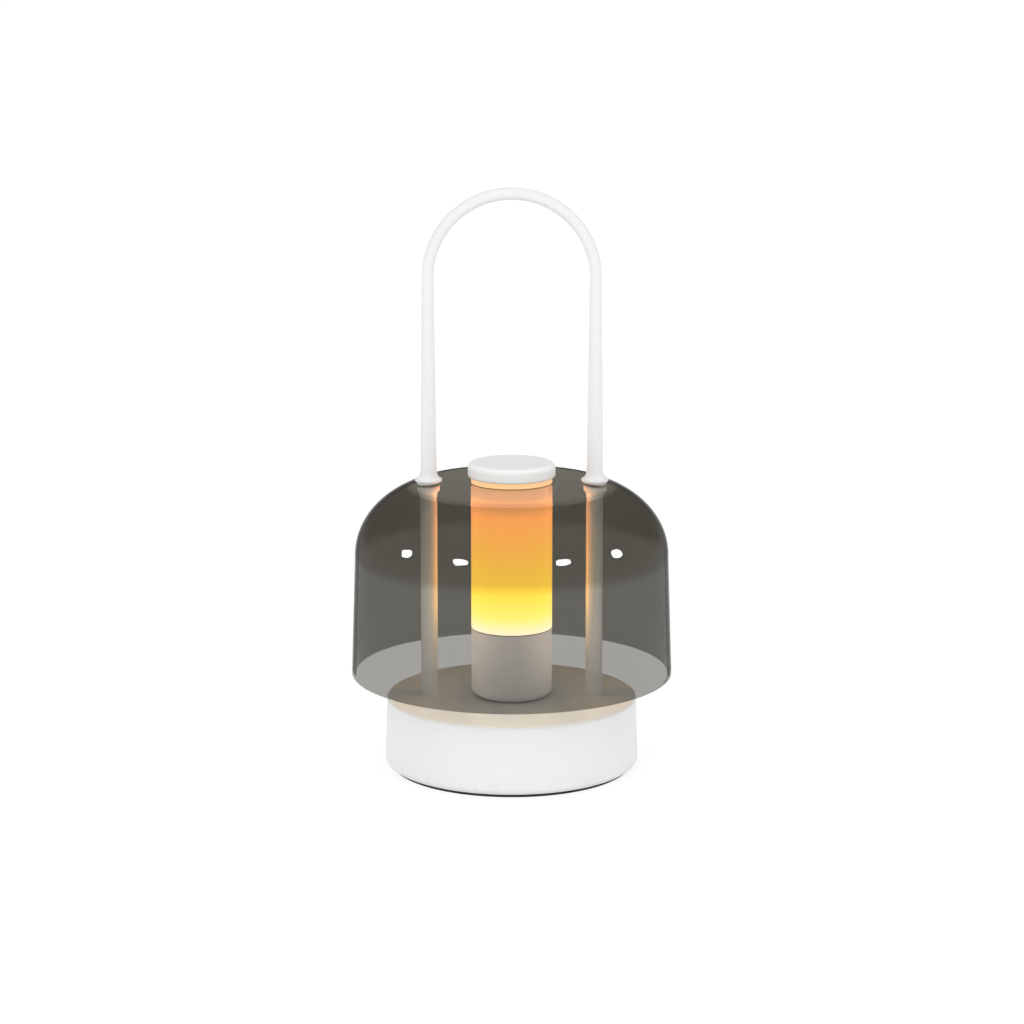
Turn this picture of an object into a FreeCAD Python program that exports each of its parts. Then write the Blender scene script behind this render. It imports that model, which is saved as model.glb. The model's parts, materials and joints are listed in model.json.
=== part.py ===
"""Cordless lantern table lamp: drum base, smoked bell glass, lit tube and bow handle.

Millimetres, +Z up. The origin is the centre of the foot's underside, -Y is the front,
and the handle, the two posts and the tube stand in the XZ plane.
"""
import FreeCAD, Part

import math
import os

V = FreeCAD.Vector
PARTS_FOLDER = "parts"

# ---------------------------------------------------------------- driving dimensions
# Clearances and fits
TOUCH_GAP = 0.3            # loose fit between neighbours that are only located
THREAD_GAP = 0.05          # shank in its threaded or drilled hole
RUN_GAP = 0.08             # radial play of a part that moves in a bore
PAST = 1.0                 # how far a cutting tool runs past the face that it opens
EMBED = 1.0                # how far a boss reaches into the wall that carries it

# Foot and base
FOOT_THICKNESS = 1.9
FOOT_OVERLAP = 1.2         # foot wider than the plate
BASE_HEIGHT = 42.8         # white shell, above the foot
BASE_TOP_RADIUS = 78.0
BASE_FLARE = 1.2           # base wider low down than at its top
BASE_TOP_ROUND = 1.5
BASE_LOW_ROUND = 4.0
BASE_TOP_WALL = 3.0
BASE_SIDE_WALL = 3.0
PLATE_THICKNESS = 2.5
PLATE_INSET = 1.7          # plate smaller than the cavity

# Screw bosses that carry the bottom plate
BOSS_RADIUS = 4.0
BOSS_INSET = 9.0           # boss centres inside the cavity's wall
BOSS_COUNT = 4

# Ballast
BALLAST_GAP = 1.5          # ballast clear of the bosses
BALLAST_BORE = 12.0
BALLAST_THICKNESS = 7.0
BALLAST_SCREW_CIRCLE = 40.0
BALLAST_SCREW_COUNT = 3

# Battery: two round cells that lie along X in a tray
CELL_RADIUS = 9.2
CELL_LENGTH = 65.2
CELL_SPACING = 20.4
TRAY_FLOOR = 1.6
TRAY_WALL = 1.4
TRAY_WALL_HEIGHT = 8.0
EAR_MARGIN = 1.4           # ear beyond its screw's head
EAR_HALF_WIDTH = 8.0
CELL_EDGE_ROUND = 0.8
CELL_END_HEIGHT = 1.2      # raised contact at one end
CELL_END_SHARE = 0.33      # its radius, as a share of the cell's
STRAP_WIDTH = 14.0
STRAP_THICKNESS = 1.2
CONTACT_THICKNESS = 0.3
CONTACT_WIDTH = 8.0

# Driver board, hung under the base's top
BOARD_LENGTH = 64.0
BOARD_WIDTH = 40.0
BOARD_THICKNESS = 1.6
BOARD_DROP = 4.5           # board's upper face below the top wall
BOARD_BOSS_X = 27.0
BOARD_BOSS_Y = 15.5
BOARD_BOSS_RADIUS = 2.8
BOARD_EDGE = 1.2           # bare edge outside the wire terminals
COIL_PLACE = (-21.0, 10.0)
COIL_RADIUS = 3.6
COIL_HEIGHT = 3.4
CAPACITOR_PLACE = (-21.0, -3.0)
CAPACITOR_RADIUS = 2.6
CAPACITOR_HEIGHT = 3.8
CONTROLLER_X = (17.0, 23.0)
CONTROLLER_Y = (-12.0, -6.0)
CHARGER_X = (18.0, 22.0)
CHARGER_Y = (2.0, 6.0)
CHIP_HEIGHT = 1.2
TERMINAL_HEIGHT = 2.6
TERMINAL_DEPTH = 4.6
LED_TERMINAL_HALF = 3.4
BATTERY_TERMINAL_HALF = 5.0
REAR_TERMINAL_HALF = 6.0

# Rear board with the switch and the charging socket
REAR_BOARD_WIDTH = 28.0
REAR_BOARD_HEIGHT = 27.0
REAR_BOARD_LOW = 7.5       # above the floor
REAR_BOARD_INSET = 7.4     # its outer face inside the cavity's wall
REAR_PILLAR_X = 11.0
REAR_PILLAR_Z = 21.5
REAR_PILLAR_RADIUS = 2.4

# Power button
BUTTON_Z = 28.5
BUTTON_RADIUS = 5.5
BUTTON_PROUD = 0.8
BUTTON_TRAVEL = 0.8
BUTTON_FLANGE = 1.3        # wider than the cap, and as thick
BUTTON_STEM_RADIUS = 2.2
BUTTON_SEAT_WIDTH = 2.0    # flat ring round the hole that the flange stops on
BUTTON_SEAT_PROUD = 0.4    # ring's face inside the shell's wall
BUTTON_EDGE_ROUND = 0.7
SWITCH_SIDE = 6.0
SWITCH_HEIGHT = 3.5
PLUNGER_RADIUS = 1.6
PLUNGER_PROUD = 1.5
PLUNGER_DEPTH = 2.0

# Charging socket and its door
SOCKET_Z = 14.6
SOCKET_WIDTH = 9.0
SOCKET_HEIGHT = 3.3
SOCKET_LENGTH = 7.8
SOCKET_SHELL = 0.35
SOCKET_BACK = 1.2          # solid back of the shell
TONGUE_INSET = 0.8         # tongue's end inside the mouth
TONGUE_WIDTH = 6.7
TONGUE_HEIGHT = 0.7
DOOR_WIDTH = 13.4
DOOR_THICKNESS = 1.6
DOOR_EDGE_ROUND = 0.5
DOOR_RISE = 8.0            # from the pin to the door's upper edge
DOOR_PIN_Z = 10.4
DOOR_PIN_RADIUS = 0.6
DOOR_PIN_HOLD = 1.6        # length of pin held at each side
KNUCKLE_RADIUS = 1.15
PORT_BLOCK_DEPTH = 3.0     # thick wall behind the door's pocket
PORT_BLOCK_MARGIN = 2.0    # thick wall round the pocket's sides
POCKET_DEPTH = 2.9

# Lamp holder, the lower white cup of the tube
TUBE_RADIUS = 25.2
HOLDER_HEIGHT = 43.3
HOLDER_ROUND = 5.5
HOLDER_FLOOR = 6.0
HOLDER_WALL = 2.3
HOLDER_LEDGE_DROP = 12.4   # heat sink's seat below the holder's rim
HOLDER_LEDGE_WIDTH = 2.4
HOLDER_SCREW_CIRCLE = 14.0
HOLDER_SCREW_COUNT = 3

# Heat sink, light source and reflector
SINK_PLATE = 4.0
SINK_FIN_DEPTH = 14.0
SINK_FIN_THICKNESS = 1.5
SINK_FIN_COUNT = 12
SINK_CORE_RADIUS = 7.0
SINK_WIRE_RADIUS = 2.8
LED_BOARD_RADIUS = 19.6
LED_BOARD_THICKNESS = 1.6
LED_RADIUS = 7.0
LED_THICKNESS = 1.3
LED_SCREW_CIRCLE = 14.0
REFLECTOR_WALL = 1.2
REFLECTOR_SPIGOT = 3.0     # how far it reaches up into the diffuser
REFLECTOR_LIP = 0.6        # how much the cone's upper edge is thinned
EMITTER_GAP = 1.2          # cone's throat round the emitter

# Diffuser and cap
DIFFUSER_WALL = 2.4
DIFFUSER_RISE = 6.9        # its upper end above the glass's crease
SEAL_THICKNESS = 0.6
SEAL_INSET = 0.2
CAP_RADIUS = 27.1
CAP_OVERLAP = 2.0          # depth of the diffuser's end in the cap's groove
CAP_HEIGHT = 8.8
CAP_TOP_ROUND = 3.2
CAP_LOW_ROUND = 1.5
CAP_SPIGOT = 5.0
CAP_SPIGOT_WALL = 2.0

# Smoked glass bell
GLASS_WALL = 2.5
RIM_RADIUS = 100.0
RIM_HEIGHT = 59.1
SKIRT_FLARE = 2.6          # rim wider than the shoulder
SHOULDER_HEIGHT = 135.1
SHOULDER_CENTRE = 41.0     # radius of the shoulder ellipse's centre
CREASE_RADIUS = 61.0
CREASE_HEIGHT = 179.1
CROWN_RADIUS = 800.0       # very shallow crown inside the crease
GLASS_TUBE_GAP = 0.6

# Posts, studs, gaskets, collars and handle
POST_OFFSET = 51.4
POST_RADIUS = 5.25
POST_HEAD_CONE = 2.0       # height of the flare under the post's upper disc
POST_HEAD_DISC = 1.5
STUD_RADIUS = 2.5
STUD_REACH = 22.0          # into the post and into the handle
GLASS_HOLE_RADIUS = 3.4
GASKET_RADIUS = 7.0
GASKET_THICKNESS = 0.8
GASKET_BLANK = 2.6         # height before the crown's form trims it
COLLAR_RADIUS = 8.4
COLLAR_RIM = 2.3
COLLAR_RIM_ROUND = 1.0
COLLAR_FLARE = 3.4
COLLAR_LIP = 0.35          # collar's wall at its upper end
COLLAR_HOLLOW = 0.12       # depth of the flare's hollow, as a share of its length
HANDLE_LOW_RADIUS = 5.1
HANDLE_BOW_RADIUS = 3.7
HANDLE_BOW_CENTRE = 307.5

# Fasteners: shank radius, head radius, head height, length under the head
PLATE_SCREW = (1.5, 3.0, 1.7, 11.0)
BALLAST_SCREW = (2.0, 4.0, 2.0, 6.5)
TRAY_SCREW = (1.5, 2.8, 1.6, 5.0)
BOARD_SCREW = (1.2, 2.2, 1.4, 5.0)
REAR_SCREW = (1.2, 2.2, 1.4, 5.0)
HOLDER_SCREW = (2.0, 3.8, 2.4, 7.5)
POST_SCREW = (2.5, 4.6, 3.0, 16.0)
LED_SCREW = (1.2, 2.2, 1.3, 4.0)
SHANK, HEAD, HEAD_HEIGHT, LENGTH = range(4)
HEAD_ROUND_SHARE = 0.45    # of a pan head's height
SLOT_DEPTH_SHARE = 0.5     # of a head's height
SLOT_REACH_SHARE = 0.6     # of a head's radius
PAN_SLOT_HALF = 0.3
FLAT_SLOT_HALF = 0.35

# Wires
WIRE_RADIUS = 0.8
WIRE_BEND = 4.0
WIRE_SPACING = 2.6
WIRE_LEAD = 2.0            # straight start of a wire before its first bend
REAR_WIRE_DROP = 7.0       # start of the rear wires below their terminal
GROMMET_RADIUS = 4.5
GROMMET_BORE = 2.9
GROMMET_LIP = 1.2

# ---------------------------------------------------------------- levels that follow
BASE_LOW = FOOT_THICKNESS
BASE_TOP = BASE_LOW + BASE_HEIGHT
CEILING = BASE_TOP - BASE_TOP_WALL
PLATE_TOP = BASE_LOW + PLATE_THICKNESS
BALLAST_TOP = PLATE_TOP + BALLAST_THICKNESS
TRAY_TOP = BALLAST_TOP + TRAY_FLOOR
CELL_Z = TRAY_TOP + CELL_RADIUS
BOARD_TOP = CEILING - BOARD_DROP
BOARD_LOW = BOARD_TOP - BOARD_THICKNESS
TERMINAL_TOP = BOARD_TOP + TERMINAL_HEIGHT
TERMINAL_Z = BOARD_TOP + TERMINAL_HEIGHT / 2
CAVITY_RADIUS = BASE_TOP_RADIUS - BASE_SIDE_WALL
BASE_LOW_RADIUS = BASE_TOP_RADIUS + BASE_FLARE
PLATE_RADIUS = CAVITY_RADIUS - PLATE_INSET
FOOT_RADIUS = PLATE_RADIUS + FOOT_OVERLAP
BOSS_CIRCLE = CAVITY_RADIUS - BOSS_INSET
BALLAST_RADIUS = BOSS_CIRCLE - BOSS_RADIUS - BALLAST_GAP
REAR_BOARD_FRONT = CAVITY_RADIUS - REAR_BOARD_INSET
HOLDER_TOP = BASE_TOP + HOLDER_HEIGHT
HOLDER_BORE = TUBE_RADIUS - HOLDER_WALL
LEDGE_Z = HOLDER_TOP - HOLDER_LEDGE_DROP
LEDGE_BORE = HOLDER_BORE - HOLDER_LEDGE_WIDTH
SINK_TOP = LEDGE_Z + SINK_PLATE
LED_BOARD_TOP = SINK_TOP + LED_BOARD_THICKNESS
DIFFUSER_BORE = TUBE_RADIUS - DIFFUSER_WALL
DIFFUSER_LOW = HOLDER_TOP + SEAL_THICKNESS
DIFFUSER_TOP = CREASE_HEIGHT + DIFFUSER_RISE
CAP_UNDERSIDE = DIFFUSER_TOP - CAP_OVERLAP
SHOULDER_RADIUS = RIM_RADIUS - SKIRT_FLARE
CROWN_CENTRE = CREASE_HEIGHT - math.sqrt(CROWN_RADIUS ** 2 - CREASE_RADIUS ** 2)


def crown_height(radius, depth=0.0):
    """Height of the glass crown at a radius, or of a surface that lies depth below it."""
    return CROWN_CENTRE + math.sqrt((CROWN_RADIUS - depth) ** 2 - radius ** 2)


COLLAR_LOW = crown_height(POST_OFFSET - GASKET_RADIUS) + GASKET_THICKNESS / 2
POST_TOP = crown_height(POST_OFFSET + GASKET_RADIUS, GLASS_WALL) - GASKET_THICKNESS / 2


def base_radius(height):
    """Outer radius of the base's flared side at a height."""
    low = BASE_LOW + BASE_LOW_ROUND
    share = (height - low) / (BASE_TOP - BASE_TOP_ROUND - low)
    return BASE_LOW_RADIUS + (BASE_TOP_RADIUS - BASE_LOW_RADIUS) * share


# ---------------------------------------------------------------- shape helpers
def cylinder(radius, low, high, x=0.0, y=0.0):
    return Part.makeCylinder(radius, high - low, V(x, y, low))


def ring(outer, inner, low, high, x=0.0, y=0.0):
    return cylinder(outer, low, high, x, y).cut(cylinder(inner, low - PAST, high + PAST, x, y))


def rod_y(radius, start, end, x, z):
    """Cylinder along Y."""
    return Part.makeCylinder(radius, end - start, V(x, start, z), V(0, 1, 0))


def rod_x(radius, start, end, y, z):
    """Cylinder along X."""
    return Part.makeCylinder(radius, end - start, V(start, y, z), V(1, 0, 0))


def block(x, y, z):
    """Box from three (low, high) pairs."""
    size = [pair[1] - pair[0] for pair in (x, y, z)]
    return Part.makeBox(*size, V(x[0], y[0], z[0]))


def rounded_block_y(width, height, start, end, z, round_radius):
    """Bar along Y with a rounded rectangular section, centred on x = 0."""
    bar = block((-width / 2, width / 2), (start, end), (z - height / 2, z + height / 2))
    edges = [edge for edge in bar.Edges if abs(edge.Length - (end - start)) < 1e-6
             and abs(edge.tangentAt(edge.FirstParameter).y) > 0.9]
    return bar.makeFillet(round_radius, edges)


def at(radius, height):
    """Point of a turned profile, drawn in the XZ plane."""
    return V(radius, 0, height)


def line(start, end):
    return Part.LineSegment(at(*start), at(*end)).toShape()


def arc(start, middle, end):
    return Part.Arc(at(*start), at(*middle), at(*end)).toShape()


def corner(centre, radius, start_angle, end_angle):
    """Round corner of a turned profile, by its centre and two angles in degrees."""
    points = []
    for angle in (start_angle, (start_angle + end_angle) / 2, end_angle):
        turn = math.radians(angle)
        points.append((centre[0] + radius * math.cos(turn), centre[1] + radius * math.sin(turn)))
    return arc(*points)


def turned(edges):
    """Solid of revolution about Z from the edges of a closed profile."""
    face = Part.Face(Part.Wire(Part.__sortEdges__(edges)))
    return face.revolve(V(0, 0, 0), V(0, 0, 1), 360)


def polygon(points):
    """Edges of a closed straight-sided profile."""
    return [line(points[i - 1], points[i]) for i in range(len(points))]


def on_circle(radius, count, first_angle):
    """Evenly spaced (x, y) places on a circle."""
    places = []
    for i in range(count):
        turn = math.radians(first_angle + 360 * i / count)
        places.append((radius * math.cos(turn), radius * math.sin(turn)))
    return places


def joined(shapes):
    """One solid from shapes that overlap or touch."""
    return shapes[0].multiFuse(shapes[1:]).removeSplitter()


def group(shapes):
    """Separate solids that share one node."""
    return Part.makeCompound(shapes)


def wire(points, radius):
    """Round wire along straight runs joined by tangent arcs."""
    path = []
    here = points[0]
    for before, bend, after in zip(points, points[1:], points[2:]):
        into = (bend - before).normalize()
        out = (after - bend).normalize()
        half = into.getAngle(out) / 2
        back = WIRE_BEND * math.tan(half)
        start = bend - into * back
        end = bend + out * back
        inward = (out - into).normalize()
        middle = bend + inward * (WIRE_BEND / math.cos(half) - WIRE_BEND)
        path.append(Part.LineSegment(here, start).toShape())
        path.append(Part.Arc(start, middle, end).toShape())
        here = end
    path.append(Part.LineSegment(here, points[-1]).toShape())
    direction = (points[1] - points[0]).normalize()
    section = Part.Wire(Part.makeCircle(radius, points[0], direction))
    return Part.Wire(path).makePipeShell([section], True, False)


# ---------------------------------------------------------------- fasteners
def pan_screw(size, x, y, seat, upward=True):
    """Pan-head screw along Z. seat is the height of the face under its head."""
    way = 1 if upward else -1
    axis = V(0, 0, way)
    shank = Part.makeCylinder(size[SHANK], size[LENGTH], V(x, y, seat), axis)
    head = Part.makeCylinder(size[HEAD], size[HEAD_HEIGHT], V(x, y, seat), -axis)
    top = [edge for edge in head.Edges if edge.Closed
           and abs(edge.CenterOfMass.z - (seat - way * size[HEAD_HEIGHT])) < 1e-6]
    head = head.makeFillet(size[HEAD_HEIGHT] * HEAD_ROUND_SHARE, top)
    slot_depth = size[HEAD_HEIGHT] * SLOT_DEPTH_SHARE
    reach = size[HEAD] * SLOT_REACH_SHARE
    slot = block((x - reach, x + reach), (y - PAN_SLOT_HALF, y + PAN_SLOT_HALF),
                 (0, slot_depth + PAST))
    cross = slot.fuse(slot.rotated(V(x, y, 0), V(0, 0, 1), 90))
    outer = seat - way * size[HEAD_HEIGHT]
    cross.translate(V(0, 0, outer - PAST if upward else outer - slot_depth))
    return shank.fuse(head).cut(cross).removeSplitter()


def flat_screw(size, x, y, face):
    """Countersunk screw that points up, its head flush with a face at this height."""
    head = Part.makeCone(size[HEAD], size[SHANK], size[HEAD_HEIGHT], V(x, y, face))
    neck = face + size[HEAD_HEIGHT]
    shank = cylinder(size[SHANK], neck, neck + size[LENGTH], x, y)
    reach = size[HEAD] * SLOT_REACH_SHARE
    slot = block((x - reach, x + reach), (y - FLAT_SLOT_HALF, y + FLAT_SLOT_HALF),
                 (face - PAST, face + size[HEAD_HEIGHT] * SLOT_DEPTH_SHARE))
    cross = slot.fuse(slot.rotated(V(x, y, 0), V(0, 0, 1), 90))
    return head.fuse(shank).cut(cross).removeSplitter()


def flat_screw_hole(size, x, y, low, high):
    """Clearance hole with a countersink that opens downwards."""
    sink = Part.makeCone(size[HEAD] + THREAD_GAP, size[SHANK] + THREAD_GAP, size[HEAD_HEIGHT],
                         V(x, y, low))
    return sink.fuse(cylinder(size[SHANK] + THREAD_GAP, low, high, x, y))


# ---------------------------------------------------------------- places used by several pieces
COVER_PLACES = on_circle(BOSS_CIRCLE, BOSS_COUNT, 45)
BALLAST_PLACES = on_circle(BALLAST_SCREW_CIRCLE, BALLAST_SCREW_COUNT, 90)
HOLDER_PLACES = on_circle(HOLDER_SCREW_CIRCLE, HOLDER_SCREW_COUNT, -90)
LED_PLACES = on_circle(LED_SCREW_CIRCLE, 2, 0)
BOARD_PLACES = [(x, y) for x in (-BOARD_BOSS_X, BOARD_BOSS_X) for y in (-BOARD_BOSS_Y, BOARD_BOSS_Y)]
POST_PLACES = {"left": -POST_OFFSET, "right": POST_OFFSET}
TRAY_HALF_WIDTH = CELL_SPACING / 2 + CELL_RADIUS + TOUCH_GAP + TRAY_WALL
TRAY_HALF_LENGTH = CELL_LENGTH / 2 + CONTACT_THICKNESS + TRAY_WALL
EAR_Y = TRAY_HALF_WIDTH + 2 * TOUCH_GAP + STRAP_THICKNESS + TRAY_SCREW[HEAD]
EAR_END = EAR_Y + TRAY_SCREW[HEAD] + EAR_MARGIN
BUTTON_FACE = base_radius(BUTTON_Z) + BUTTON_PROUD
BUTTON_SEAT = CAVITY_RADIUS - BUTTON_SEAT_PROUD
FLANGE_RADIUS = BUTTON_RADIUS + BUTTON_FLANGE
PLUNGER_TIP = REAR_BOARD_FRONT + SWITCH_HEIGHT + PLUNGER_PROUD
POCKET_Y = base_radius(DOOR_PIN_Z) - POCKET_DEPTH
DOOR_PIN_Y = POCKET_Y + KNUCKLE_RADIUS + TOUCH_GAP
DOOR_OUTER = DOOR_PIN_Y + KNUCKLE_RADIUS - THREAD_GAP
DOOR_TOP = DOOR_PIN_Z + DOOR_RISE
POCKET_HALF = DOOR_WIDTH / 2 + TOUCH_GAP
BLOCK_HALF = POCKET_HALF + PORT_BLOCK_MARGIN


# ---------------------------------------------------------------- base
def base_outline():
    """Solid of the base's outer form."""
    low, top = BASE_LOW, BASE_TOP
    lip = BASE_LOW_RADIUS - BASE_LOW_ROUND
    shelf = BASE_TOP_RADIUS - BASE_TOP_ROUND
    return turned([
        line((0, low), (lip, low)),
        corner((lip, low + BASE_LOW_ROUND), BASE_LOW_ROUND, -90, 0),
        line((BASE_LOW_RADIUS, low + BASE_LOW_ROUND), (BASE_TOP_RADIUS, top - BASE_TOP_ROUND)),
        corner((shelf, top - BASE_TOP_ROUND), BASE_TOP_ROUND, 0, 90),
        line((shelf, top), (0, top)),
        line((0, top), (0, low)),
    ])


def base_shell():
    """White shell, open below, with the bosses, pillars and the port's thick wall inside."""
    outline = base_outline()
    cavity = cylinder(CAVITY_RADIUS, PLATE_TOP, CEILING)
    mouth = cylinder(PLATE_RADIUS + TOUCH_GAP / 2, BASE_LOW - PAST, PLATE_TOP)
    shell = outline.cut(cavity).cut(mouth)
    inside = [cylinder(BOSS_RADIUS, PLATE_TOP, CEILING, x, y) for x, y in COVER_PLACES]
    inside += [cylinder(BOARD_BOSS_RADIUS, BOARD_TOP, CEILING, x, y) for x, y in BOARD_PLACES]
    for side in (-1, 1):
        pillar = rod_y(REAR_PILLAR_RADIUS, REAR_BOARD_FRONT, BASE_TOP_RADIUS - EMBED,
                       side * REAR_PILLAR_X, REAR_PILLAR_Z)
        inside.append(pillar)
    seat_radius = FLANGE_RADIUS + BUTTON_SEAT_WIDTH
    inside.append(rod_y(seat_radius, BUTTON_SEAT, BASE_TOP_RADIUS - EMBED, 0, BUTTON_Z))
    block_z = (DOOR_PIN_Z - KNUCKLE_RADIUS - PORT_BLOCK_MARGIN, DOOR_TOP + PORT_BLOCK_MARGIN)
    inside.append(block((-BLOCK_HALF, BLOCK_HALF),
                        (POCKET_Y - PORT_BLOCK_DEPTH, BASE_TOP_RADIUS - EMBED), block_z))
    shell = joined([shell] + inside)
    holes = [cylinder(PLATE_SCREW[SHANK] + THREAD_GAP, PLATE_TOP - PAST,
                      BASE_LOW + PLATE_SCREW[HEAD_HEIGHT] + PLATE_SCREW[LENGTH] + PAST, x, y)
             for x, y in COVER_PLACES]
    holes += [cylinder(BOARD_SCREW[SHANK] + THREAD_GAP, BOARD_TOP - PAST,
                       BOARD_LOW + BOARD_SCREW[LENGTH] + TOUCH_GAP, x, y) for x, y in BOARD_PLACES]
    holes += [cylinder(HOLDER_SCREW[SHANK] + TOUCH_GAP, CEILING - PAST, BASE_TOP + PAST, x, y)
              for x, y in HOLDER_PLACES]
    holes += [cylinder(POST_SCREW[SHANK] + TOUCH_GAP, CEILING - PAST, BASE_TOP + PAST, x, 0)
              for x in POST_PLACES.values()]
    holes.append(cylinder(GROMMET_RADIUS, CEILING - PAST, BASE_TOP + PAST))
    for side in (-1, 1):
        holes.append(rod_y(REAR_SCREW[SHANK] + THREAD_GAP, REAR_BOARD_FRONT - PAST,
                           REAR_BOARD_FRONT - BOARD_THICKNESS + REAR_SCREW[LENGTH] + TOUCH_GAP,
                           side * REAR_PILLAR_X, REAR_PILLAR_Z))
    holes.append(rod_y(BUTTON_RADIUS + TOUCH_GAP, BUTTON_SEAT - PAST, BUTTON_FACE + PAST, 0, BUTTON_Z))
    holes.append(door_pocket())
    return shell.cut(joined_tool(holes))


def joined_tool(shapes):
    """One cutting tool from many shapes."""
    return shapes[0].multiFuse(shapes[1:])


def door_pocket():
    """Space for the door, its pin and the socket's mouth."""
    outside = BASE_LOW_RADIUS + PAST
    pocket = block((-POCKET_HALF, POCKET_HALF), (POCKET_Y, outside),
                   (DOOR_PIN_Z - KNUCKLE_RADIUS - TOUCH_GAP, DOOR_TOP + TOUCH_GAP))
    pin_reach = POCKET_HALF + DOOR_PIN_HOLD
    pin_hole = rod_x(DOOR_PIN_RADIUS, -pin_reach, pin_reach, DOOR_PIN_Y, DOOR_PIN_Z)
    mouth = rounded_block_y(SOCKET_WIDTH + 2 * TOUCH_GAP, SOCKET_HEIGHT + 2 * TOUCH_GAP,
                            POCKET_Y - PORT_BLOCK_DEPTH - PAST, POCKET_Y + PAST, SOCKET_Z,
                            SOCKET_HEIGHT / 2)
    return joined_tool([pocket, pin_hole, mouth])


def base_plate():
    plate = cylinder(PLATE_RADIUS, BASE_LOW, PLATE_TOP)
    holes = [flat_screw_hole(PLATE_SCREW, x, y, BASE_LOW, PLATE_TOP + PAST)
             for x, y in COVER_PLACES]
    holes += [flat_screw_hole(BALLAST_SCREW, x, y, BASE_LOW, PLATE_TOP + PAST)
              for x, y in BALLAST_PLACES]
    return plate.cut(joined_tool(holes))


def foot_pad():
    return cylinder(FOOT_RADIUS, 0, FOOT_THICKNESS)


def ballast():
    body = ring(BALLAST_RADIUS, BALLAST_BORE, PLATE_TOP, BALLAST_TOP)
    reach = BASE_LOW + BALLAST_SCREW[HEAD_HEIGHT] + BALLAST_SCREW[LENGTH]
    holes = [cylinder(BALLAST_SCREW[SHANK] + THREAD_GAP, PLATE_TOP - PAST, reach + TOUCH_GAP, x, y)
             for x, y in BALLAST_PLACES]
    holes += [cylinder(TRAY_SCREW[SHANK] + THREAD_GAP, BALLAST_TOP - TRAY_SCREW[LENGTH],
                       BALLAST_TOP + PAST, 0, side * EAR_Y) for side in (-1, 1)]
    return body.cut(joined_tool(holes))


# ---------------------------------------------------------------- battery
def battery_tray():
    """Tray with side and end walls, and an ear for a screw at the front and the back."""
    floor = block((-TRAY_HALF_LENGTH, TRAY_HALF_LENGTH), (-TRAY_HALF_WIDTH, TRAY_HALF_WIDTH),
                  (BALLAST_TOP, TRAY_TOP))
    high = TRAY_TOP + TRAY_WALL_HEIGHT
    walls = [floor]
    for side in (-1, 1):
        y = sorted((side * TRAY_HALF_WIDTH, side * (TRAY_HALF_WIDTH - TRAY_WALL)))
        walls.append(block((-TRAY_HALF_LENGTH, TRAY_HALF_LENGTH), y, (BALLAST_TOP, high)))
        x = sorted((side * TRAY_HALF_LENGTH, side * (TRAY_HALF_LENGTH - TRAY_WALL)))
        walls.append(block(x, (-TRAY_HALF_WIDTH, TRAY_HALF_WIDTH), (BALLAST_TOP, high)))
        ear = sorted((side * (TRAY_HALF_WIDTH - TRAY_WALL), side * EAR_END))
        walls.append(block((-EAR_HALF_WIDTH, EAR_HALF_WIDTH), ear, (BALLAST_TOP, TRAY_TOP)))
    holes = [cylinder(TRAY_SCREW[SHANK] + TOUCH_GAP, BALLAST_TOP - PAST, TRAY_TOP + PAST,
                      0, side * EAR_Y)
             for side in (-1, 1)]
    return joined(walls).cut(joined_tool(holes))


def battery_cell(side):
    """Round cell with a raised button at its +X end."""
    y = side * CELL_SPACING / 2
    half = CELL_LENGTH / 2
    body = rod_x(CELL_RADIUS, -half, half - CELL_END_HEIGHT, y, CELL_Z)
    ends = [edge for edge in body.Edges if edge.Closed]
    body = body.makeFillet(CELL_EDGE_ROUND, ends)
    contact = rod_x(CELL_RADIUS * CELL_END_SHARE, half - CELL_END_HEIGHT - EMBED, half, y, CELL_Z)
    return body.fuse(contact).removeSplitter()


def cell_contact(side):
    """Nickel strip that joins the two cells at one end."""
    x = sorted((side * CELL_LENGTH / 2, side * (CELL_LENGTH / 2 + CONTACT_THICKNESS)))
    reach = CELL_SPACING / 2 + CONTACT_WIDTH / 2
    return block(x, (-reach, reach), (CELL_Z - CONTACT_WIDTH / 2, CELL_Z + CONTACT_WIDTH / 2))


def battery_strap():
    """Bent strap over both cells, held by the tray's two screws."""
    top = CELL_Z + CELL_RADIUS
    half = STRAP_WIDTH / 2
    inner = TRAY_HALF_WIDTH + TOUCH_GAP
    outer = inner + STRAP_THICKNESS
    pieces = [block((-half, half), (-outer, outer), (top, top + STRAP_THICKNESS))]
    for side in (-1, 1):
        leg = sorted((side * inner, side * outer))
        pieces.append(block((-half, half), leg, (TRAY_TOP, top + STRAP_THICKNESS)))
        sole = sorted((side * inner, side * EAR_END))
        pieces.append(block((-half, half), sole, (TRAY_TOP, TRAY_TOP + STRAP_THICKNESS)))
    holes = [cylinder(TRAY_SCREW[SHANK] + TOUCH_GAP, TRAY_TOP - PAST,
                      TRAY_TOP + STRAP_THICKNESS + PAST, 0, side * EAR_Y) for side in (-1, 1)]
    return joined(pieces).cut(joined_tool(holes))


# ---------------------------------------------------------------- electronics in the base
def driver_board():
    half_x, half_y = BOARD_LENGTH / 2, BOARD_WIDTH / 2
    board = block((-half_x, half_x), (-half_y, half_y), (BOARD_LOW, BOARD_TOP))
    holes = [cylinder(BOARD_SCREW[SHANK] + THREAD_GAP, BOARD_LOW - PAST, BOARD_TOP + PAST, x, y)
             for x, y in BOARD_PLACES]
    return board.cut(joined_tool(holes))


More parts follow.
